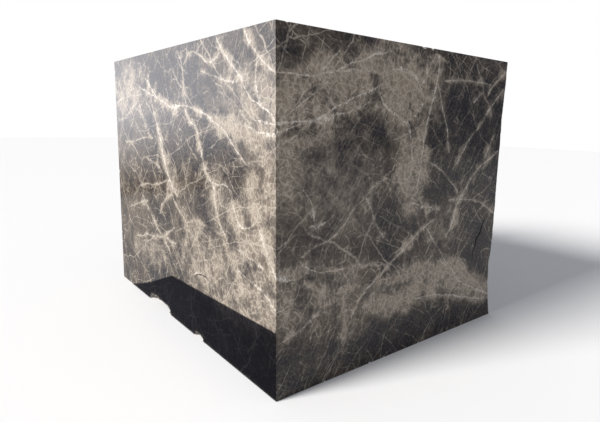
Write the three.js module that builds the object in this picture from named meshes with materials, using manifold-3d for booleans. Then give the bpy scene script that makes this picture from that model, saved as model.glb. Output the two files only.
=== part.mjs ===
// A sawn block of veined marble: five sawn faces, and the rough face left by the quarry at the back (+Y).
// Millimetres, +Z up. The origin is at the middle of the foot, and +X runs along the long side.
import * as THREE from 'three';
import { ImprovedNoise } from 'three/addons/math/ImprovedNoise.js';
import { mergeVertices } from 'three/addons/utils/BufferGeometryUtils.js';
import Module from 'manifold-3d';

// Driving dimensions
const blockLength = 2310;      // along X, at the foot
const blockWidth = 1930;       // along Y, at the widest
const blockHeight = 1800;      // along Z
const endLean = 55;            // how far the +X end leans in between the foot and the top

// The rough face: how far it lies inside the full width, by height up the +X arris
const roughProfile = [
  { height: 0, inset: 6 },     // a small toe stands out at the foot
  { height: 130, inset: 36 },
  { height: 360, inset: 62 },
  { height: 560, inset: 34 },
  { height: 900, inset: 27 },
  { height: 1350, inset: 20 },
  { height: 1800, inset: 0 },
];
const swellDepth = 22;         // broad swells away from that arris
const swellSize = 620;
const breakDepth = 11;         // smaller breaks on the swells
const breakSize = 170;
const swellStart = 260;        // the swells grow to full depth over this distance from the +X arris

// How finely the faces are divided
const cells = { long: 26, wide: 3, tall: 20 };

// Spalls broken from the arrises: middle, half sizes and turn about Z in degrees
const halfLength = blockLength / 2;
const halfWidth = blockWidth / 2;
const spalls = [
  { at: [-455, -halfWidth, 0], half: [80, 52, 50], turn: 8 },
  { at: [-300, -halfWidth, 0], half: [165, 62, 54], turn: -3 },
  { at: [300, -halfWidth, 0], half: [60, 36, 28], turn: 6 },
  { at: [-halfLength, halfWidth - 30, 1180], half: [60, 90, 150], turn: 40 },
  { at: [-halfLength, halfWidth - 40, 330], half: [45, 70, 95], turn: 30 },
  { at: [-520, halfWidth - 12, blockHeight], half: [190, 75, 48], turn: 5 },
  { at: [610, halfWidth - 10, blockHeight], half: [90, 52, 34], turn: -8 },
  { at: [-120, halfWidth - 20, 0], half: [240, 80, 60], turn: 3 },
  { at: [-halfLength, -310, 0], half: [42, 130, 38], turn: 0 },
  { at: [-halfLength, 240, blockHeight], half: [24, 62, 20], turn: 10 },
];
const spallRoughness = 0.16;   // how uneven a broken surface is, as a share of its radius
const spallDetail = 3;

const noise = new ImprovedNoise();

// Inset of the rough face at a height, easing from one profile point to the next
function profileInset(height) {
  const next = Math.max(1, roughProfile.findIndex((point) => point.height >= height));
  const low = roughProfile[next - 1];
  const high = roughProfile[next];
  const share = THREE.MathUtils.smoothstep(height, low.height, high.height);
  return THREE.MathUtils.lerp(low.inset, high.inset, share);
}

// Swells and breaks of the rough face away from the +X arris, both ways from the profile
function swell(along, height) {
  const broad = noise.noise(along / swellSize, height / swellSize, 4.7);
  const small = noise.noise(along / breakSize, height / breakSize, 9.2);
  return broad * 2 * swellDepth + small * 2 * breakDepth;
}

function roughInset(along, height) {
  const grown = THREE.MathUtils.smoothstep(halfLength - along, 0, swellStart);
  const inset = profileInset(height) + grown * swell(along, height);
  return Math.max(0, inset);
}

// A point of the divided box, moved onto the leaning end and the rough face
function shapePoint(point) {
  const height = point.z + blockHeight / 2;
  const endX = halfLength - endLean * height / blockHeight;
  const alongShare = (point.x + halfLength) / blockLength;
  const acrossShare = (point.y + halfWidth) / blockWidth;
  const x = THREE.MathUtils.lerp(-halfLength, endX, alongShare);
  const backY = halfWidth - roughInset(x, height);
  const y = THREE.MathUtils.lerp(-halfWidth, backY, acrossShare);
  return point.set(x, y, height);
}

// Moves every vertex of a geometry, and merges the vertices that its faces share
function reshaped(geometry, move) {
  geometry.deleteAttribute('normal');
  geometry.deleteAttribute('uv');
  const closed = mergeVertices(geometry, 1e-4);
  const position = closed.getAttribute('position');
  const point = new THREE.Vector3();
  for (let i = 0; i < position.count; i += 1) {
    move(point.fromBufferAttribute(position, i));
    position.setXYZ(i, point.x, point.y, point.z);
  }
  return closed;
}

function sawnBlock() {
  const { long, wide, tall } = cells;
  const box = new THREE.BoxGeometry(blockLength, blockWidth, blockHeight, long, wide, tall);
  return reshaped(box, shapePoint);
}

// The lump of stone that broke away at one spall, to be cut from the block
function spallLump({ at, half, turn }) {
  const centre = new THREE.Vector3(...at);
  const size = new THREE.Vector3(...half);
  const upright = new THREE.Vector3(0, 0, 1);
  return reshaped(new THREE.IcosahedronGeometry(1, spallDetail), (point) => {
    const uneven = noise.noise(point.x * 2 + at[0], point.y * 2 + at[1], point.z * 2 + at[2]);
    point.multiplyScalar(1 + 2 * spallRoughness * uneven).multiply(size);
    point.applyAxisAngle(upright, THREE.MathUtils.degToRad(turn)).add(centre);
  });
}

const wasm = await Module();
wasm.setup();

function toSolid(geometry) {
  const vertProperties = Float32Array.from(geometry.getAttribute('position').array);
  const triVerts = Uint32Array.from(geometry.getIndex().array);
  return new wasm.Manifold(new wasm.Mesh({ numProp: 3, vertProperties, triVerts }));
}

function toGeometry(solid) {
  const { vertProperties, triVerts } = solid.getMesh();
  const geometry = new THREE.BufferGeometry();
  geometry.setAttribute('position', new THREE.BufferAttribute(vertProperties, 3));
  geometry.setIndex(new THREE.BufferAttribute(triVerts, 1));
  geometry.computeVertexNormals();
  return geometry;
}

const whole = toSolid(sawnBlock());
const worn = spalls.reduce((solid, spall) => solid.subtract(toSolid(spallLump(spall))), whole);

const marble = new THREE.MeshStandardMaterial({
  color: 0x5c5450,
  roughness: 0.22,
  metalness: 0,
  flatShading: true,
});
const block = new THREE.Mesh(toGeometry(worn), marble);
block.name = 'marble_block';

const part = new THREE.Group();
part.add(block);

export default part;
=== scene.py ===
import math

import bmesh
import bpy
from mathutils import Matrix, Vector, noise


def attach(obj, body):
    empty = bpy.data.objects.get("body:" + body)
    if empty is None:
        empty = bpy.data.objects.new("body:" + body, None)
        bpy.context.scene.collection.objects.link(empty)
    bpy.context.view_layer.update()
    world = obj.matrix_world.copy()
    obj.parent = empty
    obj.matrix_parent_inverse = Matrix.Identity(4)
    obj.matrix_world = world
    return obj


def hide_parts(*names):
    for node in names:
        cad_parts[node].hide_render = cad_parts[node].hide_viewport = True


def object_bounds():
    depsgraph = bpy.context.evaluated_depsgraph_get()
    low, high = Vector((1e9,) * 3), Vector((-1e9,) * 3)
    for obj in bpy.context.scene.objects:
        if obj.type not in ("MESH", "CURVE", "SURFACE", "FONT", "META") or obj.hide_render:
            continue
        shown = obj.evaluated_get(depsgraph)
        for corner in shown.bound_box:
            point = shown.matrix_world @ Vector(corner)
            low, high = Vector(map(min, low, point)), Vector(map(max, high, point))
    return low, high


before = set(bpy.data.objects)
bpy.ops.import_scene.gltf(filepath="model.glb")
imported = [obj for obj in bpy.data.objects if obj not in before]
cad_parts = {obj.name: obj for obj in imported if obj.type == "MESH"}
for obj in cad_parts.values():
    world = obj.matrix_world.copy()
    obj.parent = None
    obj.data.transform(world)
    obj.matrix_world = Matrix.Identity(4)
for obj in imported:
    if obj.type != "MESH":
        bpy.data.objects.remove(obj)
cadLow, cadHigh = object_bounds()
print("frame loaded:", [round(side, 3) for side in cadHigh - cadLow])

# The block's own places, from the frame, in metres
leftEnd, rightEnd = cadLow.x, cadHigh.x
frontSide, backSide = cadLow.y, cadHigh.y
blockTop = cadHigh.z
up = Vector((0, 0, 1))

scene = bpy.context.scene


def newItem(name, data):
    item = bpy.data.objects.new(name, data)
    scene.collection.objects.link(item)
    return item


cameraSetup = {
    "fromNearArris": (1.727, -1.239),  # along X and Y from the near bottom corner
    "eyeHeight": 1.367,
    "heading": math.radians(141.83),   # of the line of sight, from +X towards +Y
    "lookDown": math.radians(10.73),
    "roll": math.radians(1.46),
    "lens": 28.33,                     # lens and sensor in mm
    "sensor": 36.0,
    "farthest": 200,
}


def makeCamera(setup):
    data = bpy.data.cameras.new("camera")
    data.lens = setup["lens"]
    data.sensor_width = setup["sensor"]
    data.clip_end = setup["farthest"]
    camera = newItem("camera", data)
    heading, drop = setup["heading"], setup["lookDown"]
    sight = Vector((math.cos(heading) * math.cos(drop), math.sin(heading) * math.cos(drop), -math.sin(drop)))
    turn = sight.to_track_quat("-Z", "Y").to_matrix() @ Matrix.Rotation(setup["roll"], 3, "Z")
    east, north = setup["fromNearArris"]
    camera.matrix_world = turn.to_4x4()
    camera.location = (rightEnd + east, frontSide + north, setup["eyeHeight"])
    scene.camera = camera


makeCamera(cameraSetup)
print("camera placed")

# The block's shape, in metres
blockShape = {
    "endLean": 0.055,               # how far the +X end leans in from foot to top
    "weld": 0.00002,                # corners this near to each other are one
    "flatness": 0.0006,             # a corner this near a sawn plane lies on it
    "squareness": 0.99,             # how squarely a sawn face looks out of its plane
    "roughDepth": 0.11,             # the rough face lies within this of the back
    "roughSquareness": 0.55,        # and looks this squarely to the back
    "longestEdge": 0.017,           # of the triangles on the rough face
    "spallEdge": 0.011,             # and of those on the spalls
    "passes": 4,                    # of splitting the edges that are longer
    "spallShare": 0.4,              # how much of the ledges and grain a spall gets
    "rimShare": 0.45,               # and how much a corner gets where broken stone meets a sawn face
    "ledgeHeight": 0.018,           # ledges of riven stone, on top of the face's swells
    "ledgeSize": 0.13,
    "ledgeSunk": 0.3,               # share of their height that lies under the face
    "grainHeight": 0.005,           # finer breaks over the ledges
    "grainSize": 0.035,
    "grainOctaves": (0.9, 2.1, 3),  # falloff, step in size and number
    "sharpTurn": math.radians(35),  # an edge that turns by more than this stays sharp
}
brokenKind = -1                     # of a face that no saw has touched


def sawnPlanes(shape):
    # a point on each sawn face and the way that it faces
    lean = math.atan2(shape["endLean"], blockTop)
    return [
        (Vector((0, frontSide, 0)), Vector((0, -1, 0))),
        (Vector((rightEnd, 0, 0)), Vector((math.cos(lean), 0, math.sin(lean)))),
        (Vector((leftEnd, 0, 0)), Vector((-1, 0, 0))),
        (Vector((0, 0, 0)), Vector((0, 0, -1))),
        (Vector((0, 0, blockTop)), Vector((0, 0, 1))),
    ]


def kindOf(face, planes, shape):
    for kind, (spot, out) in enumerate(planes):
        near = all(abs((vert.co - spot).dot(out)) < shape["flatness"] for vert in face.verts)
        if near and face.normal.dot(out) > shape["squareness"]:
            return kind
    return brokenKind


def isRough(face, shape):
    atBack = face.calc_center_median().y > backSide - shape["roughDepth"]
    return atBack and face.normal.y > shape["roughSquareness"]


def divide(bm, shape):
    # splits the long edges of broken stone until its triangles are small
    brokenLayer = bm.faces.layers.int["broken"]
    for _ in range(shape["passes"]):
        longEdges = []
        for edge in bm.edges:
            worn = [face for face in edge.link_faces if face[brokenLayer]]
            finest = "longestEdge" if all(isRough(face, shape) for face in worn) else "spallEdge"
            if worn and edge.calc_length() > shape[finest]:
                longEdges.append(edge)
        bmesh.ops.subdivide_edges(bm, edges=longEdges, cuts=1)
        split = [face for face in bm.faces if face[brokenLayer] and len(face.verts) > 3]
        bmesh.ops.triangulate(bm, faces=split, quad_method="SHORT_EDGE", ngon_method="EAR_CLIP")
        bm.normal_update()


def breakOffset(point, shape):
    nearest = noise.voronoi(point / shape["ledgeSize"])[0]
    ledge = (nearest[1] - nearest[0] - shape["ledgeSunk"]) * shape["ledgeHeight"]
    grain = noise.fractal(point / shape["grainSize"], *shape["grainOctaves"]) * shape["grainHeight"]
    return ledge + grain


def roughen(bm, planes, shape):
    # broken stone moves in or out, but stays in the plane of any sawn face that it meets
    bm.normal_update()
    moves = {}
    for vert in bm.verts:
        kinds = {kindOf(face, planes, shape) for face in vert.link_faces}
        if brokenKind not in kinds:
            continue
        rough = any(isRough(face, shape) for face in vert.link_faces)
        way = Vector((0, 1, 0)) if rough else vert.normal * shape["spallShare"]
        step = way * breakOffset(vert.co, shape) * (shape["rimShare"] if len(kinds) > 1 else 1.0)
        for kind in kinds - {brokenKind}:
            out = planes[kind][1]
            step -= out * step.dot(out)
        moves[vert] = step
    for vert, step in moves.items():
        vert.co += step
        vert.co.x = max(vert.co.x, leftEnd)
        vert.co.y = min(vert.co.y, backSide)
        vert.co.z = max(vert.co.z, 0)


def refinedBlock(shape):
    bm = bmesh.new()
    bm.from_mesh(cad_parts["marble_block"].data)
    bmesh.ops.remove_doubles(bm, verts=bm.verts, dist=shape["weld"])
    bm.normal_update()
    planes = sawnPlanes(shape)
    brokenLayer = bm.faces.layers.int.new("broken")
    kinds = {face: kindOf(face, planes, shape) for face in bm.faces}
    for face, kind in kinds.items():
        face[brokenLayer] = int(kind == brokenKind)
    for kind in range(len(planes)):
        sawn = [face for face in kinds if face.is_valid and kinds[face] == kind]
        bmesh.ops.dissolve_faces(bm, faces=sawn)
    divide(bm, shape)
    roughen(bm, planes, shape)
    mesh = bpy.data.meshes.new("marbleBlock")
    bm.to_mesh(mesh)
    bm.free()
    print("block refined:", len(mesh.polygons), "faces")
    return mesh


def sortFaces(mesh, shape):
    # sawn faces take the first material and stay flat; the rest keep theirs, or take the second
    bm = bmesh.new()
    bm.from_mesh(mesh)
    bm.normal_update()
    planes = sawnPlanes(shape)
    for face in bm.faces:
        sawn = kindOf(face, planes, shape) != brokenKind
        face.material_index = 0 if sawn else max(1, face.material_index)
        face.smooth = not sawn
    for edge in bm.edges:
        edge.smooth = edge.calc_face_angle(0) < shape["sharpTurn"]
    bm.to_mesh(mesh)
    bm.free()


# Where the marble's veins and clouds lie, and the painted shade at the end face's foot. Each face is read
# from its left end and its foot, in metres. A vein is (along, up, half width in mm) points, and each cloud,
# like each patch of painted shade, is (along, up, reach along, reach up, turn in degrees, strength).
frontFace = {
    "corner": Vector((leftEnd, frontSide, 0)),
    "along": Vector((1, 0, 0)),
    "inward": Vector((0, 1, 0)),
    "bold": [
        [(0.84, 1.335, 5), (0.90, 1.245, 11), (0.94, 1.15, 17), (1.0, 1.05, 15), (1.12, 0.91, 13),
         (1.19, 0.86, 3)],
        [(0.55, 1.575, 4), (0.75, 1.533, 6), (0.96, 1.482, 7), (1.13, 1.436, 13), (1.32, 1.44, 5),
         (1.57, 1.395, 5), (1.75, 1.33, 5), (1.91, 1.223, 6), (2.04, 1.14, 3)],
        [(0.67, 1.635, 4), (0.765, 1.575, 8), (0.87, 1.505, 4)],
        [(1.30, 1.44, 4), (1.37, 1.36, 5), (1.45, 1.32, 6), (1.51, 1.22, 8), (1.58, 1.06, 8),
         (1.67, 1.01, 5)],
        [(1.66, 1.02, 6), (1.69, 0.915, 9), (1.74, 0.80, 6), (1.82, 0.715, 3)],
        [(1.69, 1.80, 6), (1.785, 1.71, 6), (1.95, 1.575, 5), (2.055, 1.463, 5), (2.16, 1.428, 6),
         (2.31, 1.33, 6)],
        [(1.99, 1.80, 5), (2.055, 1.71, 6), (2.13, 1.65, 6), (2.26, 1.58, 3)],
        [(2.14, 0.84, 4), (2.19, 0.76, 7), (2.235, 0.70, 7), (2.31, 0.61, 7)],
        [(1.86, 0.953, 3), (1.905, 0.90, 5), (1.95, 0.84, 9), (2.01, 0.82, 5), (2.10, 0.855, 3)],
        [(1.39, 0.398, 2), (1.46, 0.423, 5), (1.545, 0.434, 6), (1.64, 0.396, 2)],
    ],
    "fine": [
        [(1.05, 0.96, 3), (1.10, 0.863, 6), (1.20, 0.78, 6), (1.29, 0.732, 5), (1.36, 0.653, 3)],
        [(0.765, 1.523, 3), (0.795, 1.425, 4), (0.84, 1.335, 5)],
        [(0.63, 1.08, 2), (0.72, 1.07, 5), (0.81, 1.05, 5), (0.93, 1.008, 3)],
        [(0.878, 0.705, 2), (0.923, 0.78, 4), (0.99, 0.828, 4), (1.118, 0.867, 4)],
        [(2.118, 1.665, 4), (2.097, 1.56, 5), (2.16, 1.43, 3)],
        [(0.36, 0.443, 3), (0.495, 0.473, 5), (0.75, 0.525, 6), (0.885, 0.543, 7), (1.0, 0.593, 6),
         (1.12, 0.648, 3)],
        [(0.495, 0.818, 3), (0.60, 0.75, 6), (0.705, 0.668, 7), (0.84, 0.582, 7), (1.035, 0.465, 3)],
        [(0.255, 0.653, 3), (0.36, 0.698, 5), (0.465, 0.732, 5), (0.645, 0.765, 4)],
        [(0.915, 0.563, 3), (1.02, 0.543, 5), (1.14, 0.537, 2)],
        [(1.928, 0.693, 4), (2.055, 0.672, 5), (2.183, 0.648, 3)],
        [(1.928, 0.588, 3), (2.07, 0.543, 5), (2.175, 0.525, 6), (2.31, 0.458, 4)],
        [(0.495, 0.863, 2), (0.645, 0.885, 3), (0.78, 0.90, 4), (0.90, 0.933, 4), (1.02, 0.968, 3)],
        [(0.18, 1.193, 3), (0.33, 1.182, 4), (0.495, 1.208, 4), (0.66, 1.23, 2)],
        [(1.635, 1.02, 4), (1.74, 1.013, 5), (1.79, 1.02, 8), (1.86, 0.99, 2)],
        [(0.0, 1.478, 4), (0.165, 1.515, 6), (0.30, 1.575, 6), (0.45, 1.605, 5), (0.563, 1.575, 4)],
        [(0.03, 1.335, 3), (0.21, 1.365, 4), (0.36, 1.425, 4), (0.495, 1.478, 3)],
        [(1.30, 1.68, 3), (1.395, 1.733, 4), (1.50, 1.717, 4), (1.62, 1.673, 4), (1.755, 1.707, 4)],
        [(1.20, 1.77, 3), (1.275, 1.688, 4), (1.305, 1.575, 4), (1.335, 1.44, 4)],
        [(1.515, 1.635, 3), (1.65, 1.605, 4), (1.785, 1.568, 4), (1.935, 1.553, 3)],
    ],
    "soft": [
        [(0.525, 1.478, 8), (0.60, 1.365, 15), (0.668, 1.29, 15), (0.788, 1.223, 6)],
        [(1.65, 1.373, 8), (1.80, 1.35, 18), (1.95, 1.323, 24), (2.10, 1.305, 18), (2.31, 1.29, 12)],
        [(1.44, 0.645, 4), (1.515, 0.578, 9), (1.575, 0.495, 10), (1.71, 0.323, 5)],
        [(1.29, 0.72, 5), (1.44, 0.758, 10), (1.59, 0.747, 10), (1.80, 0.726, 5)],
    ],
    "pale": [
        (1.88, 1.335, 0.26, 0.08, -6, 0.8), (2.15, 1.08, 0.20, 0.34, 0, 0.75),
        (2.0, 0.84, 0.20, 0.14, 0, 0.6), (1.72, 0.92, 0.16, 0.20, 20, 0.5),
        (1.85, 0.52, 0.60, 0.26, 0, 0.55), (1.36, 0.66, 0.20, 0.13, 0, 0.5),
        (0.30, 1.58, 0.36, 0.16, 8, 0.7), (0.60, 0.38, 0.42, 0.10, 0, 0.4),
        (1.45, 0.50, 0.32, 0.14, -8, 0.5),
    ],
    "darkStoneAndPaintedShade": [
        (1.05, 1.66, 0.42, 0.18, 0, 0.6), (1.62, 1.53, 0.26, 0.10, -8, 0.5),
        (1.86, 1.12, 0.17, 0.18, 0, 0.5), (1.53, 0.86, 0.20, 0.11, 0, 0.5),
        (0.20, 1.27, 0.20, 0.07, 0, 0.4), (1.18, 1.22, 0.18, 0.16, 0, 0.35),
    ],
}
endFace = {
    "corner": Vector((rightEnd, frontSide, 0)),
    "along": Vector((0, 1, 0)),
    "inward": Vector((-1, 0, 0)),
    "bold": [
        [(0.0, 1.35, 4), (0.09, 1.418, 5), (0.258, 1.518, 5), (0.41, 1.632, 5), (0.547, 1.68, 6),
         (0.73, 1.737, 4)],
        [(0.0, 1.302, 6), (0.09, 1.347, 6), (0.2, 1.368, 5), (0.41, 1.455, 5), (0.524, 1.50, 5),
         (0.654, 1.553, 6)],
        [(0.661, 1.545, 5), (0.722, 1.458, 13), (0.79, 1.425, 12), (0.859, 1.392, 7), (0.92, 1.35, 3)],
        [(0.676, 1.553, 4), (0.73, 1.632, 6), (0.82, 1.662, 7), (0.912, 1.653, 8), (0.988, 1.59, 9),
         (1.04, 1.50, 5)],
        [(1.049, 1.493, 3), (1.011, 1.448, 5), (0.973, 1.403, 3)],
        [(1.056, 1.718, 7), (1.049, 1.658, 11), (1.021, 1.605, 10), (0.996, 1.575, 4)],
        [(1.173, 1.78, 9), (1.173, 1.665, 14), (1.148, 1.575, 13), (1.117, 1.485, 12),
         (1.097, 1.395, 9), (1.076, 1.29, 8), (1.061, 1.20, 7), (1.046, 1.11, 6), (1.018, 0.96, 3)],
        [(1.163, 1.635, 3), (1.20, 1.538, 5), (1.25, 1.407, 6), (1.292, 1.335, 6), (1.31, 1.26, 6),
         (1.34, 1.193, 3)],
        [(1.93, 1.733, 4), (1.824, 1.673, 4), (1.748, 1.605, 4), (1.718, 1.545, 2)],
        [(1.925, 1.635, 4), (1.832, 1.548, 7), (1.718, 1.448, 7), (1.642, 1.368, 6), (1.566, 1.305, 7),
         (1.497, 1.23, 8), (1.429, 1.152, 9), (1.365, 1.088, 3)],
        [(1.90, 1.203, 4), (1.778, 1.14, 5), (1.664, 1.073, 7), (1.52, 0.963, 8), (1.459, 0.893, 6),
         (1.421, 0.81, 7), (1.395, 0.743, 7), (1.338, 0.653, 3)],
        [(1.216, 0.792, 4), (1.132, 0.762, 8), (1.049, 0.728, 7), (0.973, 0.678, 6), (0.82, 0.582, 5),
         (0.70, 0.498, 5), (0.608, 0.46, 4)],
        [(0.638, 0.473, 3), (0.578, 0.428, 5), (0.54, 0.368, 5), (0.502, 0.30, 2)],
        [(1.277, 0.54, 3), (1.383, 0.443, 5), (1.474, 0.36, 6), (1.581, 0.293, 7), (1.687, 0.248, 7),
         (1.93, 0.158, 5)],
        [(1.049, 0.30, 4), (1.216, 0.293, 6), (1.368, 0.267, 6), (1.535, 0.218, 7), (1.718, 0.165, 7),
         (1.93, 0.132, 5)],
    ],
    "fine": [
        [(0.06, 1.395, 3), (0.228, 1.56, 4), (0.395, 1.718, 3)],
        [(0.912, 1.38, 5), (0.945, 1.29, 8), (0.96, 1.20, 8), (0.973, 1.14, 6), (0.955, 1.05, 3)],
        [(1.847, 1.305, 3), (1.794, 1.245, 5), (1.718, 1.148, 3)],
        [(1.573, 1.755, 3), (1.611, 1.695, 4), (1.649, 1.643, 5), (1.68, 1.553, 5), (1.74, 1.50, 3)],
        [(1.239, 1.62, 3), (1.368, 1.635, 4), (1.52, 1.643, 4), (1.748, 1.632, 3)],
        [(1.55, 1.503, 4), (1.611, 1.553, 6), (1.657, 1.575, 3)],
        [(0.152, 0.708, 4), (0.228, 0.75, 5), (0.319, 0.777, 5), (0.441, 0.852, 5), (0.524, 0.933, 5),
         (0.585, 0.978, 5), (0.669, 1.035, 6), (0.768, 1.065, 3)],
        [(0.14, 0.693, 3), (0.182, 0.653, 6), (0.236, 0.624, 6), (0.35, 0.612, 5), (0.494, 0.603, 3)],
        [(0.585, 0.99, 3), (0.638, 0.90, 4), (0.692, 0.803, 5), (0.79, 0.717, 4)],
        [(0.973, 0.918, 4), (1.094, 0.882, 6), (1.262, 0.852, 4)],
        [(1.338, 0.90, 3), (1.459, 0.897, 4), (1.611, 0.878, 4), (1.748, 0.833, 4), (1.90, 0.762, 3)],
        [(0.03, 0.30, 2), (0.152, 0.338, 4), (0.289, 0.405, 3)],
        [(0.198, 0.855, 4), (0.319, 0.885, 4), (0.372, 0.915, 2)],
        [(0.152, 1.08, 3), (0.213, 0.99, 5), (0.228, 0.885, 4)],
        [(1.125, 1.14, 2), (1.262, 1.08, 3), (1.368, 1.005, 4), (1.444, 0.945, 3)],
        [(1.125, 0.75, 3), (1.262, 0.60, 4), (1.368, 0.48, 4), (1.52, 0.34, 4)],
    ],
    "soft": [
        [(0.04, 1.36, 20), (0.38, 1.56, 60), (0.684, 1.665, 70), (1.0, 1.75, 60)],
        [(1.11, 1.77, 45), (1.064, 1.575, 42), (1.05, 1.35, 20), (1.018, 1.125, 28), (1.0, 0.96, 26)],
        [(0.137, 0.60, 8), (0.274, 0.525, 22), (0.38, 0.488, 26), (0.502, 0.473, 16)],
        [(0.441, 0.45, 10), (0.448, 0.315, 15), (0.456, 0.165, 8)],
        [(0.654, 0.48, 16), (0.851, 0.405, 36), (1.064, 0.36, 38), (1.246, 0.36, 30)],
        [(1.125, 0.525, 20), (1.368, 0.42, 40), (1.596, 0.285, 40), (1.93, 0.18, 26)],
        [(0.79, 1.095, 20), (0.912, 1.02, 34), (1.064, 0.915, 34), (1.20, 0.84, 18)],
    ],
    "pale": [
        (0.91, 1.545, 0.32, 0.24, 0, 1.0), (0.98, 1.10, 0.14, 0.30, 0, 0.8),
        (0.98, 0.39, 0.46, 0.14, 0, 0.9), (1.50, 0.36, 0.40, 0.12, -24, 0.9),
        (0.38, 0.50, 0.22, 0.09, 0, 0.5), (0.24, 0.96, 0.13, 0.18, 0, 0.35),
        (0.42, 1.57, 0.56, 0.17, 20, 1.0), (1.35, 0.72, 0.16, 0.16, 0, 0.3),
        (0.45, 0.33, 0.08, 0.20, 0, 0.4),
    ],
    "darkStoneAndPaintedShade": [
        (1.44, 1.35, 0.30, 0.42, 0, 1.0), (1.80, 1.35, 0.22, 0.46, 0, 0.8),
        (0.71, 0.84, 0.18, 0.15, 0, 0.6), (0.46, 1.27, 0.34, 0.10, 10, 0.8),
        # these two lie at the foot: painted shade, the reflection of the shaded ground, not dark stone
        (0.85, 0.12, 0.52, 0.13, 0, 1.0), (0.08, 0.12, 0.20, 0.14, 0, 0.7),
        (1.70, 0.57, 0.20, 0.20, 0, 0.8), (0.12, 1.72, 0.12, 0.06, 0, 0.3),
        # the first of these lies at the foot: painted shade, the reflection of the shaded ground
        (1.55, 0.08, 0.50, 0.08, 0, 0.8), (0.40, 1.08, 0.28, 0.20, 0, 0.9),
        (0.30, 0.75, 0.20, 0.12, 0, 0.4),
    ],
}

# How the marble is drawn. A noise is (scale, detail, roughness). An ease is (start, end) or (start, end,
# what it gives at the start, what it gives at the end).
marbleLook = {
    "slateAndPaintedShade": (0.013, 0.013, 0.019, 1),   # darkest stone, and the painted shade at the end face's foot
    "body": (0.070, 0.055, 0.043, 1),
    "beige": (0.30, 0.252, 0.200, 1),    # clouds of fine calcite
    "cream": (0.50, 0.44, 0.365, 1),     # fine veins
    "white": (0.66, 0.61, 0.54, 1),      # the heart of the bold veins
    "dust": (0.42, 0.40, 0.37, 1),       # freshly broken stone
    "cloudShare": 0.8,                   # how much clouds, fine veins and hearts cover
    "netShare": 0.64,
    "coreShare": 0.72,
    "polish": (0.12, 0.24),              # roughness of dark and of pale stone

    # placed veins: distances from their middles are in half widths
    "wobble": (4.3, 2.0, 0.05),          # scale, detail, and how far veins stray from their lines
    "shake": (21.0, 2.0, 0.016),
    "wander": (1.1, 1.0, 0.9),           # the same, for each metre into the stone
    "veinDepth": (0.85, 0.2),            # none show at the first depth, all at the second
    # a noise and its ease: how veins narrow and widen, how their edges fray, and where their hearts are weak
    "uneven": ((12.0, 2.0), (0.34, 0.68, 0.65, 2.3)),
    "frayed": ((75.0, 2.0, 0.7), (0.3, 0.7, -0.55, 0.75)),
    "gaps": ((48.0, 2.0, 0.6), (0.42, 0.56, 0.3, 1.0)),
    "boldBand": (8.5, 0.4),              # the paler stone beside them, and how strong it is
    "boldStrength": 0.9,
    "fineBand": (7.5, 0.4),
    "fineStrength": 0.65,
    "softBand": (2.3, 0.1),
    "boldCore": (1.2, 0.2),
    "fineCore": (1.1, 0.1, 0, 0.8),
    "swirl": (3.1, 3.0, 0.24),           # scale, detail, and how far clouds stray
    "patchRim": (1.7, 0.1),

    # clouds
    "broad": (1.7, 4.0, 0.6),
    "mottle": (8.5, 6.0, 0.7),
    "grain": (60.0, 4.0, 0.75),
    "drift": (0.48, 0.70, 0.0, 0.9),     # clouds where none are placed
    "driftShare": 0.15,                  # and how much of them shows among placed ones
    "darkMottle": (0.7, 0.35, 0.6, 1.0),
    "paleMottle": (0.33, 0.62, 0.2, 1.4),
    "darkOverPale": 0.6,
    "darkOverNet": 0.7,
    "toneShares": (0.4, 0.6),            # broad and mottle in the body's tone
    "tone": (0.36, 0.62),
    "speckle": (0.42, 0.75, 0.0, 0.22),

    # the net of fine veins
    "flow": (1.5, 1.0, 0.24),            # scale, detail, and how far it strays
    "bend": (7.0, 2.0, 0.05),
    "curl": (34.0, 2.0, 0.010),
    "lineCore": 0.1,                     # share of a line's width that has its full strength
    "sheetSeed": 7.0,
    "sheetPatch": (0.9, 0.6),            # scale of a sheet's patches, and how spacing changes it
    "sheetEdge": (-0.04, 0.12),          # a patch comes in over this much about what is shown
    "middleWeb": (8.0, 0.0055),          # scale, and width in metres
    "middleShown": (0.44, 0.60, 0.0, 0.8),
    "smallWeb": (24.0, 0.0046),
    "smallShown": (0.0, 0.8, 0.16, 1.0),
    "streak": (1.0, 1.0, 0.5),
    "threads": (14.0, 0.03),             # scale, and width as a step in the noise
    "threadNoise": (2.0, 0.6),
    "threadsShown": (0.1, 0.9, 0.0, 0.7),
    "netGrain": (0.36, 0.6, 0.35, 1.05),
    "netMottle": (0.34, 0.6, 0.6, 1.15),
}
# Sheets of vein that run right through the block: the way across them, spacing and width in metres, and
# how much of each shows
veinSheets = [
    (Vector((0.50, -0.62, 0.60)), 0.26, 0.0065, 0.48),
    (Vector((-0.55, 0.60, 0.58)), 0.30, 0.0065, 0.49),
    (Vector((0.85, 0.30, 0.42)), 0.34, 0.0060, 0.49),
    (Vector((0.22, 0.38, -0.90)), 0.24, 0.0055, 0.51),
    (Vector((-0.80, -0.50, 0.32)), 0.09, 0.0038, 0.49),
    (Vector((0.35, -0.80, 0.48)), 0.08, 0.0038, 0.49),
    (Vector((-0.30, 0.35, 0.89)), 0.09, 0.0036, 0.51),
]
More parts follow.
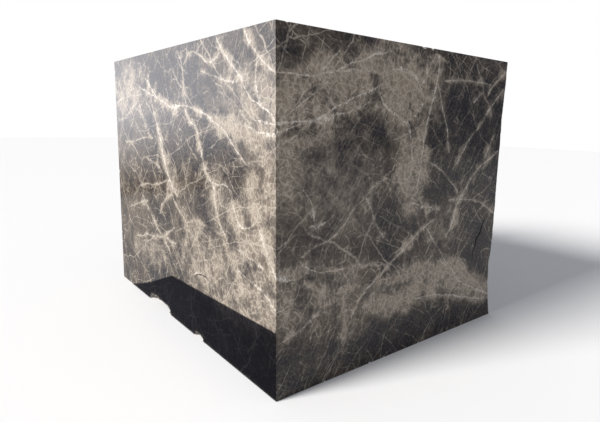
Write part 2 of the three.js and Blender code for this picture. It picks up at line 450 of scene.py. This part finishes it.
# The surfaces of the three kinds of stone. A relief is (strength, depth in metres).
stoneFinish = {
    "shine": 0.5,
    "ripple": (30.0, 4.0, 0.6),          # of polished stone
    "rippleRelief": (0.3, 0.0008),
    "chalky": (14.0, 6.0, 0.7),          # of broken stone
    "crystals": (130.0, 4.0, 0.75),
    "crystalHeight": 0.35,
    "stain": (2.3, 3.0, 0.6),
    "chalkyDust": (0.35, 0.7, 0.05, 0.4),
    "stainDust": (0.38, 0.62, 0.05, 0.4),
    "brokenRoughness": (0.3, 0.7, 0.62, 0.9),
    "brokenRelief": (1.0, 0.022),
    "crackStain": (90.0, 3.0, 0.6),      # inside a crack
    "crackBody": (0.35, 0.75, 0.0, 0.5),
    "crackRoughness": 0.8,
    "crackRelief": (0.6, 0.003),
}


def put(tree, kind, inputs=None, **settings):
    node = tree.nodes.new(kind)
    for name, value in settings.items():
        setattr(node, name, value)
    for socket, value in (inputs or {}).items():
        if isinstance(value, bpy.types.NodeSocket):
            tree.links.new(value, node.inputs[socket])
        else:
            node.inputs[socket].default_value = value
    return node


def addSocket(tree, side, name, kind):
    tree.interface.new_socket(name, in_out=side, socket_type="NodeSocket" + kind)


def figure(tree, operation, *values, clamp=False):
    inputs = dict(enumerate(values))
    return put(tree, "ShaderNodeMath", inputs, operation=operation, use_clamp=clamp).outputs[0]


def times(tree, first, second):
    return figure(tree, "MULTIPLY", first, second)


def larger(tree, first, second):
    return figure(tree, "MAXIMUM", first, second)


def vectorFigure(tree, operation, *values):
    return put(tree, "ShaderNodeVectorMath", dict(enumerate(values)), operation=operation)


def scaled(tree, vector, amount):
    return put(tree, "ShaderNodeVectorMath", {0: vector, "Scale": amount}, operation="SCALE").outputs[0]


def ease(tree, value, start, end, low=0.0, high=1.0):
    inputs = {"Value": value, "From Min": start, "From Max": end, "To Min": low, "To Max": high}
    return put(tree, "ShaderNodeMapRange", inputs, interpolation_type="SMOOTHSTEP").outputs[0]


def blend(tree, factor, first, second):
    return put(tree, "ShaderNodeMix", {0: factor, 6: first, 7: second}, data_type="RGBA").outputs[2]


def noiseNode(tree, point, scale, detail=2.0, roughness=0.5):
    inputs = {"Vector": point, "Scale": scale, "Detail": detail, "Roughness": roughness}
    return put(tree, "ShaderNodeTexNoise", inputs)


def noiseAt(tree, point, kind):
    return noiseNode(tree, point, *kind).outputs["Fac"]


def noiseShift(tree, point, scale, detail):
    # noise as a vector about zero
    color = noiseNode(tree, point, scale, detail).outputs["Color"]
    return vectorFigure(tree, "SUBTRACT", color, (0.5, 0.5, 0.5)).outputs[0]


def pushed(tree, point, scale, detail, amount):
    # the point, moved by noise
    shift = scaled(tree, noiseShift(tree, point, scale, detail), amount)
    return vectorFigure(tree, "ADD", point, shift).outputs[0]


def curveOf(tree, value, points):
    node = put(tree, "ShaderNodeFloatCurve", {"Value": value})
    curve = node.mapping.curves[0]
    curve.points[0].location = points[0]
    curve.points[1].location = points[-1]
    for spot in points[1:-1]:
        curve.points.new(*spot)
    node.mapping.extend = "HORIZONTAL"
    node.mapping.update()
    return node.outputs[0]


def slide(tree, point, way, start):
    # how far the point lies along a way from a start, in lengths of the way
    reach = way.dot(start) / way.length_squared
    share = vectorFigure(tree, "DOT_PRODUCT", point, way / way.length_squared).outputs["Value"]
    return figure(tree, "SUBTRACT", share, reach)


def faceWays(face, spot, turn):
    # a spot on a face, and the ways along and across a line turned in the face
    along = face["along"] * math.cos(turn) + up * math.sin(turn)
    across = up * math.cos(turn) - face["along"] * math.sin(turn)
    return face["corner"] + face["along"] * spot[0] + up * spot[1], along, across


def veinDistance(tree, point, face, path):
    # distance from the middle of a vein, as a share of its half width there
    start, end = Vector(path[0][:2]), Vector(path[-1][:2])
    line = end - start
    length = line.length
    spot, along, across = faceWays(face, start, math.atan2(line.y, line.x))
    taper = 0.02  # share of the vein that each of its ends takes to narrow to nothing
    thinnest = 0.0001
    middles, widths = [], [(0.0, 0.0)]
    for reach, height, halfWidth in path:
        step = Vector((reach, height)) - start
        share = step.dot(line) / length ** 2
        middles.append((share, 0.5 + (line.x * step.y - line.y * step.x) / length))
        widths.append((taper + (1 - 2 * taper) * share, halfWidth / 1000))
    widths.append((1.0, 0.0))
    share = slide(tree, point, along * length, spot)
    apart = slide(tree, point, across, spot - across * 0.5)
    apart = figure(tree, "SUBTRACT", apart, curveOf(tree, share, middles))
    width = larger(tree, curveOf(tree, share, widths), thinnest)
    return figure(tree, "DIVIDE", figure(tree, "ABSOLUTE", apart), width)


def nearestVein(tree, point, face, kind):
    nearest = 99.0
    for path in face[kind]:
        nearest = figure(tree, "MINIMUM", nearest, veinDistance(tree, point, face, path))
    return nearest


def patchAmount(tree, point, face, kind, rim):
    amount = 0.0
    for reach, height, reachAlong, reachUp, turn, strength in face[kind]:
        spot, along, across = faceWays(face, (reach, height), math.radians(turn))
        sideways = slide(tree, point, along * reachAlong, spot)
        upwards = slide(tree, point, across * reachUp, spot)
        away = figure(tree, "MULTIPLY_ADD", sideways, sideways, times(tree, upwards, upwards))
        amount = larger(tree, amount, ease(tree, away, *rim, 0.0, strength))
    return amount


def facePattern(tree, point, face, look):
    # strength of each kind of vein and cloud that was placed on one face, the dark clouds taking in the
    # painted shade at the end face's foot
    inside = vectorFigure(tree, "SUBTRACT", point, face["corner"]).outputs[0]
    depth = vectorFigure(tree, "DOT_PRODUCT", inside, face["inward"]).outputs["Value"]
    fade = ease(tree, depth, *look["veinDepth"])
    wanderScale, wanderDetail, wander = look["wander"]
    reach = times(tree, larger(tree, depth, 0.0), wander)
    shaken = pushed(tree, pushed(tree, point, *look["wobble"]), *look["shake"])
    run = pushed(tree, shaken, wanderScale, wanderDetail, reach)
    uneven, unevenEase = look["uneven"]
    uneven = ease(tree, noiseAt(tree, point, uneven), *unevenEase)
    frayed, frayedEase = look["frayed"]
    frayed = ease(tree, noiseAt(tree, point, frayed), *frayedEase)
    near = {}
    for kind in ("bold", "fine", "soft"):
        near[kind] = figure(tree, "MULTIPLY_ADD", nearestVein(tree, run, face, kind), uneven, frayed)
    band = times(tree, ease(tree, near["bold"], *look["boldBand"]), look["boldStrength"])
    fine = times(tree, ease(tree, near["fine"], *look["fineBand"]), look["fineStrength"])
    band = larger(tree, band, fine)
    band = larger(tree, band, ease(tree, near["soft"], *look["softBand"]))
    boldCore = ease(tree, near["bold"], *look["boldCore"])
    core = larger(tree, boldCore, ease(tree, near["fine"], *look["fineCore"]))
    gaps, gapsEase = look["gaps"]
    gaps = ease(tree, noiseAt(tree, shaken, gaps), *gapsEase)
    swirled = pushed(tree, run, *look["swirl"])
    pattern = {
        "core": times(tree, core, gaps),
        "pale": larger(tree, band, patchAmount(tree, swirled, face, "pale", look["patchRim"])),
        "darkStoneAndPaintedShade": patchAmount(tree, swirled, face, "darkStoneAndPaintedShade", look["patchRim"]),
    }
    return {kind: times(tree, amount, fade) for kind, amount in pattern.items()}, fade


def fineLine(tree, distance, width, look):
    return ease(tree, distance, width, look["lineCore"] * width)


def web(tree, point, scale, width, look):
    # a net of thin lines round irregular cells
    cells = put(tree, "ShaderNodeTexVoronoi", {"Vector": point, "Scale": scale}, feature="DISTANCE_TO_EDGE")
    return fineLine(tree, cells.outputs["Distance"], width * scale, look)


def strands(tree, point, scale, width, look):
    # thin winding threads that split and meet
    value = noiseAt(tree, point, (scale, *look["threadNoise"]))
    return fineLine(tree, figure(tree, "ABSOLUTE", figure(tree, "SUBTRACT", value, 0.5)), width, look)


def sheet(tree, point, way, spacing, width, shown, look):
    # thin parallel veins, unevenly spaced, that come and go
    across = vectorFigure(tree, "DOT_PRODUCT", point, way.normalized() / spacing).outputs["Value"]
    lines = put(tree, "ShaderNodeTexVoronoi", {"W": across, "Scale": 1.0}, voronoi_dimensions="1D",
                feature="DISTANCE_TO_EDGE")
    line = fineLine(tree, lines.outputs["Distance"], width / spacing, look)
    place = vectorFigure(tree, "ADD", point, way * look["sheetSeed"]).outputs[0]
    patchScale, power = look["sheetPatch"]
    patch = noiseAt(tree, place, (patchScale / spacing ** power, 1.0))
    hidden, full = look["sheetEdge"]
    return times(tree, line, ease(tree, patch, shown + hidden, shown + full))


def marblePattern(look):
    tree = bpy.data.node_groups.new("marblePattern", "ShaderNodeTree")
    addSocket(tree, "OUTPUT", "Color", "Color")
    addSocket(tree, "OUTPUT", "Roughness", "Float")
    point = put(tree, "ShaderNodeTexCoord").outputs["Object"]
    front, frontFade = facePattern(tree, point, frontFace, look)
    end, endFade = facePattern(tree, point, endFace, look)
    placed = {kind: larger(tree, front[kind], end[kind]) for kind in front}
    elsewhere = figure(tree, "SUBTRACT", 1.0, larger(tree, frontFade, endFade))

    # clouds, and the painted shade at the end face's foot
    broad = noiseAt(tree, point, look["broad"])
    mottle = noiseAt(tree, point, look["mottle"])
    grain = noiseAt(tree, point, look["grain"])
    drift = ease(tree, broad, *look["drift"])
    pale = larger(tree, placed["pale"], times(tree, drift, elsewhere))
    pale = larger(tree, pale, times(tree, drift, look["driftShare"]))
    darkStoneAndPaintedShade = times(tree, placed["darkStoneAndPaintedShade"], ease(tree, mottle, *look["darkMottle"]))
    pale = figure(tree, "MULTIPLY", pale, ease(tree, mottle, *look["paleMottle"]), clamp=True)
    pale = times(tree, pale, figure(tree, "SUBTRACT", 1.0, times(tree, darkStoneAndPaintedShade, look["darkOverPale"])))

    # sheets, webs and threads of thin veins
    flowed = pushed(tree, pushed(tree, point, *look["flow"]), *look["bend"])
    curly = pushed(tree, flowed, *look["curl"])
    lines = 0.0
    for way, spacing, width, shown in veinSheets:
        lines = larger(tree, lines, sheet(tree, curly, way, spacing, width, shown, look))
    streaky = vectorFigure(tree, "MULTIPLY", curly, look["streak"]).outputs[0]
    middle = web(tree, curly, *look["middleWeb"], look)
    middle = times(tree, middle, ease(tree, mottle, *look["middleShown"]))
    small = web(tree, curly, *look["smallWeb"], look)
    small = times(tree, small, ease(tree, pale, *look["smallShown"]))
    threads = strands(tree, streaky, *look["threads"], look)
    threads = times(tree, threads, ease(tree, pale, *look["threadsShown"]))
    net = larger(tree, larger(tree, lines, middle), larger(tree, small, threads))
    quiet = figure(tree, "SUBTRACT", 1.0, times(tree, darkStoneAndPaintedShade, look["darkOverNet"]))
    net = times(tree, net, quiet)
    net = times(tree, net, ease(tree, grain, *look["netGrain"]))
    net = figure(tree, "MULTIPLY", net, ease(tree, mottle, *look["netMottle"]), clamp=True)

    # colours, from the body of the stone outwards
    broadShare, mottleShare = look["toneShares"]
    tone = figure(tree, "MULTIPLY_ADD", broad, broadShare, times(tree, mottle, mottleShare))
    # where the dark clouds are, the tone falls to slate; at the end face's foot this is painted shade, the
    # reflection of the shaded ground
    tone = times(tree, ease(tree, tone, *look["tone"]), figure(tree, "SUBTRACT", 1.0, darkStoneAndPaintedShade))
    color = blend(tree, tone, look["slateAndPaintedShade"], look["body"])
    color = blend(tree, ease(tree, grain, *look["speckle"]), color, look["beige"])
    color = blend(tree, times(tree, pale, look["cloudShare"]), color, look["beige"])
    color = blend(tree, times(tree, net, look["netShare"]), color, look["cream"])
    color = blend(tree, times(tree, placed["core"], look["coreShare"]), color, look["white"])
    softness = larger(tree, pale, larger(tree, net, placed["core"]))
    out = put(tree, "NodeGroupOutput")
    tree.links.new(color, out.inputs["Color"])
    tree.links.new(ease(tree, softness, 0.0, 1.0, *look["polish"]), out.inputs["Roughness"])
    return tree


def newMaterial(name):
    material = bpy.data.materials.new(name)
    material.use_nodes = True
    tree = material.node_tree
    return material, tree, tree.nodes["Principled BSDF"]


def addRelief(tree, surface, height, relief):
    strength, depth = relief
    bump = put(tree, "ShaderNodeBump", {"Strength": strength, "Distance": depth, "Height": height})
    tree.links.new(bump.outputs[0], surface.inputs["Normal"])


def polishedMarble(pattern, finish):
    material, tree, surface = newMaterial("polishedMarble")
    marble = put(tree, "ShaderNodeGroup", node_tree=pattern)
    tree.links.new(marble.outputs["Color"], surface.inputs["Base Color"])
    tree.links.new(marble.outputs["Roughness"], surface.inputs["Roughness"])
    point = put(tree, "ShaderNodeTexCoord").outputs["Object"]
    addRelief(tree, surface, noiseAt(tree, point, finish["ripple"]), finish["rippleRelief"])
    surface.inputs["Specular IOR Level"].default_value = finish["shine"]
    return material


def brokenMarble(pattern, look, finish):
    material, tree, surface = newMaterial("brokenMarble")
    marble = put(tree, "ShaderNodeGroup", node_tree=pattern)
    point = put(tree, "ShaderNodeTexCoord").outputs["Object"]
    chalky = noiseAt(tree, point, finish["chalky"])
    crystals = noiseAt(tree, point, finish["crystals"])
    stain = noiseAt(tree, point, finish["stain"])
    chalkyDust = ease(tree, chalky, *finish["chalkyDust"])
    dusty = figure(tree, "ADD", chalkyDust, ease(tree, stain, *finish["stainDust"]))
    color = blend(tree, dusty, marble.outputs["Color"], look["dust"])
    tree.links.new(color, surface.inputs["Base Color"])
    tree.links.new(ease(tree, crystals, *finish["brokenRoughness"]), surface.inputs["Roughness"])
    height = figure(tree, "ADD", chalky, times(tree, crystals, finish["crystalHeight"]))
    addRelief(tree, surface, height, finish["brokenRelief"])
    return material


def crackedMarble(look, finish):
    material, tree, surface = newMaterial("crackedMarble")
    point = put(tree, "ShaderNodeTexCoord").outputs["Object"]
    stain = noiseAt(tree, point, finish["crackStain"])
    color = blend(tree, ease(tree, stain, *finish["crackBody"]), look["slateAndPaintedShade"], look["body"])
    tree.links.new(color, surface.inputs["Base Color"])
    surface.inputs["Roughness"].default_value = finish["crackRoughness"]
    addRelief(tree, surface, stain, finish["crackRelief"])
    return material


# Wear: chips along the arrises, and cracks. Lengths are in metres, and a noise is (scale, detail).
wearLook = {
    "seed": 11,
    "spacing": 0.02,           # between the places on an arris where a chip may be
    "chance": 0.05,            # that there is one
    "smallest": 0.0035,
    "largest": 0.0095,
    "stretch": (0.6, 1.9),     # least and most, along each axis
    "chipNoise": (170.0, 2.0),
    "chipEdge": 0.0015,        # how uneven a chip is
    "chipDivisions": 3,
    "arrisGap": 0.06,          # chips keep this far from the corners
    "roughGap": 0.18,          # and this far from the rough face
    "crackStep": 0.006,
    "crackNoise": (60.0, 3.0),
    "crackShake": 0.007,       # how far a crack strays from its line
    "crackWidths": (0.5, 1.2),  # least and most, as a share of its half width
    "crackEnds": 0.15,         # how open a crack's ends are
    "crackSides": 6,
}
# Each crack has its points, (along, up) on its face, and its half width
fissure = {
    "face": endFace,
    "halfWidth": 0.008,
    "path": [
        (1.80, 0.76), (1.755, 0.70), (1.735, 0.64), (1.69, 0.60), (1.68, 0.55), (1.655, 0.50), (1.67, 0.455),
    ],
}
flake = {
    "face": frontFace,
    "halfWidth": 0.0045,
    "path": [(1.41, 0.405), (1.46, 0.424), (1.52, 0.435), (1.56, 0.432), (1.60, 0.418), (1.635, 0.396)],
}


def newTree(name, sizes):
    # a Geometry Nodes tree with a geometry, the named sizes, a seed and a material as its inputs
    tree = bpy.data.node_groups.new(name, "GeometryNodeTree")
    addSocket(tree, "INPUT", "Geometry", "Geometry")
    for size in sizes:
        addSocket(tree, "INPUT", size, "Float")
    addSocket(tree, "INPUT", "Seed", "Int")
    addSocket(tree, "INPUT", "Material", "Material")
    addSocket(tree, "OUTPUT", "Geometry", "Geometry")
    return tree, put(tree, "NodeGroupInput").outputs


def finishTree(tree, geometry, given):
    solid = put(tree, "GeometryNodeRealizeInstances", {"Geometry": geometry}).outputs[0]
    painted = put(tree, "GeometryNodeSetMaterial", {"Geometry": solid, "Material": given["Material"]})
    tree.links.new(painted.outputs[0], put(tree, "NodeGroupOutput").inputs["Geometry"])
    return tree


def evenLine(tree, given, step):
    # the given mesh line as a curve with evenly spaced points
    line = put(tree, "GeometryNodeMeshToCurve", {"Mesh": given["Geometry"]}).outputs[0]
    inputs = {"Curve": line, "Length": given[step]}
    return put(tree, "GeometryNodeResampleCurve", inputs, mode="LENGTH").outputs[0]


def moved(tree, geometry, offset):
    return put(tree, "GeometryNodeSetPosition", {"Geometry": geometry, "Offset": offset}).outputs[0]


def chance(tree, kind, low, high, draw, given):
    # a random value for each point; each draw has its own number, added to the seed
    lowSocket, highSocket, output = {"FLOAT": (2, 3, 1), "FLOAT_VECTOR": (0, 1, 0)}[kind]
    seed = put(tree, "ShaderNodeMath", {0: given["Seed"], 1: draw}, operation="ADD").outputs[0]
    inputs = {lowSocket: low, highSocket: high, "Seed": seed}
    return put(tree, "FunctionNodeRandomValue", inputs, data_type=kind).outputs[output]


def chipTree(look):
    # stone broken out along an edge, as solids to take away
    tree, given = newTree("arrisChips", ["Spacing", "Chance", "Smallest", "Largest", "Unevenness"])
    line = evenLine(tree, given, "Spacing")
    shift = scaled(tree, chance(tree, "FLOAT_VECTOR", (-1, -1, -1), (1, 1, 1), 1, given), given["Smallest"])
    picked = {0: chance(tree, "FLOAT", 0.0, 1.0, 2, given), 1: given["Chance"]}
    picked = put(tree, "FunctionNodeCompare", picked, operation="LESS_THAN").outputs[0]
    size = chance(tree, "FLOAT", given["Smallest"], given["Largest"], 3, given)
    least, most = look["stretch"]
    stretch = chance(tree, "FLOAT_VECTOR", (least, least, least), (most, most, most), 4, given)
    scale = scaled(tree, stretch, size)
    places = moved(tree, line, shift)
    lump = {"Radius": 1.0, "Subdivisions": look["chipDivisions"]}
    lump = put(tree, "GeometryNodeMeshIcoSphere", lump).outputs[0]
    chips = {"Points": places, "Selection": picked, "Instance": lump, "Scale": scale}
    chips = put(tree, "GeometryNodeInstanceOnPoints", chips).outputs[0]
    chips = put(tree, "GeometryNodeRealizeInstances", {"Geometry": chips}).outputs[0]
    here = put(tree, "GeometryNodeInputPosition").outputs[0]
    bumps = scaled(tree, noiseShift(tree, here, *look["chipNoise"]), given["Unevenness"])
    return finishTree(tree, moved(tree, chips, bumps), given)


def crackTree(look):
    # a jagged wedge that follows a path, as a solid to take away
    tree, given = newTree("crack", ["Step", "Half Width", "Shake"])
    line = evenLine(tree, given, "Step")
    here = put(tree, "GeometryNodeInputPosition").outputs[0]
    line = moved(tree, line, scaled(tree, noiseShift(tree, here, *look["crackNoise"]), given["Shake"]))
    share = put(tree, "GeometryNodeSplineParameter").outputs["Factor"]
    swell = figure(tree, "SINE", times(tree, share, math.pi))
    swell = figure(tree, "ADD", swell, look["crackEnds"])
    swell = times(tree, swell, chance(tree, "FLOAT", *look["crackWidths"], 5, given))
    width = times(tree, swell, given["Half Width"])
    ring = {"Resolution": look["crackSides"], "Radius": 1.0}
    ring = put(tree, "GeometryNodeCurvePrimitiveCircle", ring).outputs[0]
    wedge = {"Curve": line, "Profile Curve": ring, "Scale": width, "Fill Caps": True}
    return finishTree(tree, put(tree, "GeometryNodeCurveToMesh", wedge).outputs[0], given)


def evaluated(item):
    # a new mesh with the item's modifiers in it
    bpy.context.view_layer.update()
    return bpy.data.meshes.new_from_object(item.evaluated_get(bpy.context.evaluated_depsgraph_get()))


def grown(name, tree, points, edges, inputs):
    # the mesh that a tree makes from lines
    mesh = bpy.data.meshes.new(name)
    mesh.from_pydata(points, edges, [])
    line = newItem(name, mesh)
    nodes = line.modifiers.new(name, "NODES")
    nodes.node_group = tree
    for socket in tree.interface.items_tree:
        if socket.in_out == "INPUT" and socket.name in inputs:
            nodes[socket.identifier] = inputs[socket.name]
    made = evaluated(line)
    line.modifiers.remove(nodes)
    bpy.data.objects.remove(line)
    return made


def arrisLines(shape, look):
    # the sawn arrises, each as a line that stops short of its corners
    gap = look["arrisGap"]
    backStop = backSide - look["roughGap"]
    topRight = rightEnd - shape["endLean"]
    foot, head = Vector((rightEnd, frontSide, 0)), Vector((topRight, frontSide, blockTop))
    lines = [
        ((leftEnd, frontSide, gap), (leftEnd, frontSide, blockTop - gap)),
        (foot.lerp(head, gap / blockTop), head.lerp(foot, gap / blockTop)),
        ((leftEnd + gap, frontSide, blockTop), (topRight - gap, frontSide, blockTop)),
        ((leftEnd + gap, frontSide, 0), (rightEnd - gap, frontSide, 0)),
        ((topRight, frontSide + gap, blockTop), (topRight, backStop, blockTop)),
        ((rightEnd, frontSide + gap, 0), (rightEnd, backStop, 0)),
        ((leftEnd, frontSide + gap, blockTop), (leftEnd, backStop, blockTop)),
        ((leftEnd, frontSide + gap, 0), (leftEnd, backStop, 0)),
    ]
    points = [Vector(point) for line in lines for point in line]
    return points, [(2 * index, 2 * index + 1) for index in range(len(lines))]


def crackLine(crack, shape):
    # the crack's path on its face, which leans on the +X end
    face = crack["face"]
    lean = face["inward"] * (shape["endLean"] / blockTop if face is endFace else 0.0)
    points = []
    for along, height in crack["path"]:
        points.append(face["corner"] + face["along"] * along + up * height + lean * height)
    return points, [(index, index + 1) for index in range(len(points) - 1)]


def takeAway(block, mesh):
    cutter = newItem("cutter", mesh)
    cut = block.modifiers.new("cut", "BOOLEAN")
    cut.operation = "DIFFERENCE"
    cut.solver = "MANIFOLD"
    cut.material_mode = "TRANSFER"
    cut.object = cutter
    made = evaluated(block)
    block.modifiers.remove(cut)
    bpy.data.objects.remove(cutter)
    block.data = made


def wearDown(block, shape, look, broken, cracked):
    points, edges = arrisLines(shape, look)
    chips = grown("chips", chipTree(look), points, edges, {
        "Spacing": look["spacing"],
        "Chance": look["chance"],
        "Smallest": look["smallest"],
        "Largest": look["largest"],
        "Unevenness": look["chipEdge"],
        "Seed": look["seed"],
        "Material": broken,
    })
    takeAway(block, chips)
    print("chips cut:", len(chips.polygons), "faces in the cutters")
    tree = crackTree(look)
    for crack in (fissure, flake):
        points, edges = crackLine(crack, shape)
        takeAway(block, grown("crack", tree, points, edges, {
            "Step": look["crackStep"],
            "Half Width": crack["halfWidth"],
            "Shake": look["crackShake"],
            "Seed": look["seed"],
            "Material": cracked,
        }))
    sortFaces(block.data, shape)
    print("cracks cut:", len(block.data.polygons), "faces")


def makeBlock(shape, look, finish, wear):
    block = newItem("marbleBlock", refinedBlock(shape))
    pattern = marblePattern(look)
    broken, cracked = brokenMarble(pattern, look, finish), crackedMarble(look, finish)
    for material in (polishedMarble(pattern, finish), broken, cracked):
        block.data.materials.append(material)
    wearDown(block, shape, wear, broken, cracked)
    return block


marbleBlock = makeBlock(blockShape, marbleLook, stoneFinish, wearLook)
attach(marbleBlock, "root")
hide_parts("marble_block")
print("block made")

# Floor, light and surroundings
stageLook = {
    "floorSize": 60,
    "floorColor": (0.86, 0.86, 0.855, 1),
    "reflectedFloor": (0.32, 0.32, 0.32, 1),  # the floor as the polish reflects it
    "floorRoughness": 0.9,
    "floorShine": 0.1,
    "sunColor": (1.0, 0.98, 0.96),
    "keyFrom": (-0.16, -0.84, 0.50),          # towards the key light
    "keyPower": 5.1,
    "keyWidth": math.radians(20),
    "fillFrom": (-0.62, 0.55, 0.56),          # towards a weaker light on the sides that the key light misses
    "fillPower": 1.9,
    "fillWidth": math.radians(30),
    "skyColor": (0.88, 0.91, 1.0, 1),
    "skyPower": 0.38,
    "reflectedSky": 0.14,                     # the sky's power as the polish reflects it
    "backdrop": (1.0, 1.0, 1.0, 1),
    "shadeGap": 0.005,                        # the shade board stands this far before the front face
    "shadeLift": 0.002,                       # and this far off the floor
    "shadeGlow": (0.105, 0.108, 0.135, 1),
    "shadeTop": [(0.22, 0.0), (0.55, 0.10), (1.05, 0.30), (2.312, 0.357), (2.312, 0.0)],
    "shadeFoot": [  # with notches at the bites in the block's foot
        (1.515, 0.0), (1.50, 0.03), (1.41, 0.03), (1.39, 0.0), (1.02, 0.0), (0.98, 0.052), (0.72, 0.060),
        (0.63, 0.045), (0.61, 0.0),
    ],
    # bright panels far to the left, which only the polish reflects: the middle of each, from the front face's
    # left foot, its half width and half height, and its power
    "panels": [((-4.04, -1.05, 2.55), (1.2, 0.9), 1.9), ((-4.10, -3.20, 1.85), (2.3, 1.8), 2.3)],
    "panelFade": (0.0, 1.8),                  # they brighten between these heights
    "panelColor": (0.93, 0.94, 1.0, 1),
}


def makeFloor(look):
    half = look["floorSize"] / 2
    corners = [(-half, -half, 0), (half, -half, 0), (half, half, 0), (-half, half, 0)]
    mesh = bpy.data.meshes.new("floor")
    mesh.from_pydata(corners, [], [(0, 1, 2, 3)])
    material, tree, surface = newMaterial("paleFloor")
    ray = put(tree, "ShaderNodeLightPath").outputs["Is Glossy Ray"]
    color = blend(tree, ray, look["floorColor"], look["reflectedFloor"])
    tree.links.new(color, surface.inputs["Base Color"])
    surface.inputs["Roughness"].default_value = look["floorRoughness"]
    surface.inputs["Specular IOR Level"].default_value = look["floorShine"]
    mesh.materials.append(material)
    floor = newItem("floor", mesh)


def makeSun(name, way, power, width, color):
    data = bpy.data.lights.new(name, "SUN")
    data.energy = power
    data.angle = width
    data.color = color
    sun = newItem(name, data)
    sun.rotation_euler = (-Vector(way)).to_track_quat("-Z", "Y").to_euler()
    return sun


def makeLights(look, block):
    makeSun("keyLight", look["keyFrom"], look["keyPower"], look["keyWidth"], look["sunColor"])
    fill = makeSun("fillLight", look["fillFrom"], look["fillPower"], look["fillWidth"], look["sunColor"])
    lit = bpy.data.collections.new("litByFill")
    lit.objects.link(block)
    fill.light_linking.receiver_collection = lit


def makeWorld(look):
    world = bpy.data.worlds.new("surroundings")
    scene.world = world
    world.use_nodes = True
    tree = world.node_tree
    sky = tree.nodes["Background"]
    sky.inputs["Color"].default_value = look["skyColor"]
    sky.inputs["Strength"].default_value = look["skyPower"]
    dim = put(tree, "ShaderNodeBackground", {"Color": look["skyColor"], "Strength": look["reflectedSky"]})
    backdrop = put(tree, "ShaderNodeBackground", {"Color": look["backdrop"], "Strength": 1.0})
    ray = put(tree, "ShaderNodeLightPath").outputs
    mixed = {0: ray["Is Glossy Ray"], 1: sky.outputs[0], 2: dim.outputs[0]}
    mixed = put(tree, "ShaderNodeMixShader", mixed).outputs[0]
    mixed = {0: ray["Is Camera Ray"], 1: mixed, 2: backdrop.outputs[0]}
    mixed = put(tree, "ShaderNodeMixShader", mixed).outputs[0]
    tree.links.new(mixed, tree.nodes["World Output"].inputs["Surface"])


def glowing(name, color, power):
    material = bpy.data.materials.new(name)
    material.use_nodes = True
    tree = material.node_tree
    glow = put(tree, "ShaderNodeEmission", {"Color": color, "Strength": power})
    tree.links.new(glow.outputs[0], tree.nodes["Material Output"].inputs["Surface"])
    return material


def makeBoard(name, corners, material):
    mesh = bpy.data.meshes.new(name)
    mesh.from_pydata(corners, [], [tuple(range(len(corners)))])
    mesh.materials.append(material)
    board = newItem(name, mesh)
    board.visible_camera = False
    return board


def makeShade(look):
    # a thin dark board that keeps light off the foot of the front face
    y = frontSide - look["shadeGap"]
    outline = look["shadeTop"] + look["shadeFoot"]
    corners = [(leftEnd + along, y, height + look["shadeLift"]) for along, height in outline]
    makeBoard("shade", corners, glowing("shadeGlow", look["shadeGlow"], 1.0))


def makePanels(look):
    for spot, (wide, tall), power in look["panels"]:
        place = Vector((leftEnd, frontSide, 0)) + Vector(spot)
        sides = ((-wide, -tall), (wide, -tall), (wide, tall), (-wide, tall))
        corners = [place + Vector((0, y, z)) for y, z in sides]
        material = glowing("panelGlow", look["panelColor"], power)
        tree = material.node_tree
        point = put(tree, "ShaderNodeTexCoord").outputs["Object"]
        height = put(tree, "ShaderNodeSeparateXYZ", {0: point}).outputs["Z"]
        strength = ease(tree, height, *look["panelFade"], 0.0, power)
        tree.links.new(strength, tree.nodes["Emission"].inputs["Strength"])
        panel = makeBoard("panel", corners, material)
        panel.visible_diffuse = False
        panel.visible_shadow = False


makeFloor(stageLook)
makeLights(stageLook, marbleBlock)
makeWorld(stageLook)
makeShade(stageLook)
makePanels(stageLook)
scene.view_settings.view_transform = "Standard"
print("stage lit")
